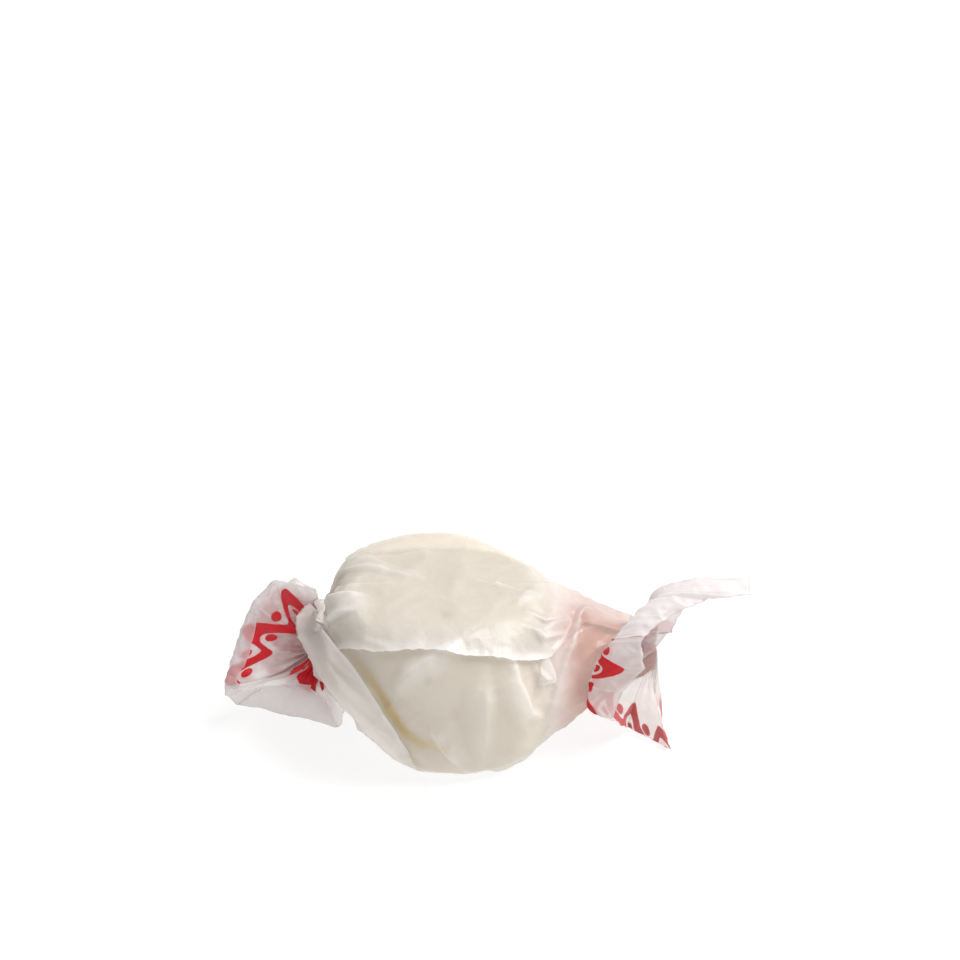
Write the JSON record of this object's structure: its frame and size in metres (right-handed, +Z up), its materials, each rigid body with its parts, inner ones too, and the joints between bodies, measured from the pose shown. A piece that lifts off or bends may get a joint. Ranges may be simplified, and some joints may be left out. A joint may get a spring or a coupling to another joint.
{
  "type": "wrapped taffy candy",
  "caption": "Soft pulled taffy in waxed paper, twisted shut at both ends into crumpled paper fans.",
  "frame": {"origin": "on the flat underside, straight below the middle of the candy on the twist axis", "axes": "+X along the twist axis towards the longer neck, -Y to the side where the paper's free edge lies, +Z up from the flat underside"},
  "size_m": [0.0471, 0.0233, 0.0148],
  "materials": {
    "waxed_paper": "translucent waxed paper, satin, with a red printed border near its cut edges",
    "taffy": "soft cream candy, smooth and slightly waxy"
  },
  "bodies": {
    "root": {"wrapped_taffy": "waxed_paper"}
  },
  "joints": []
}
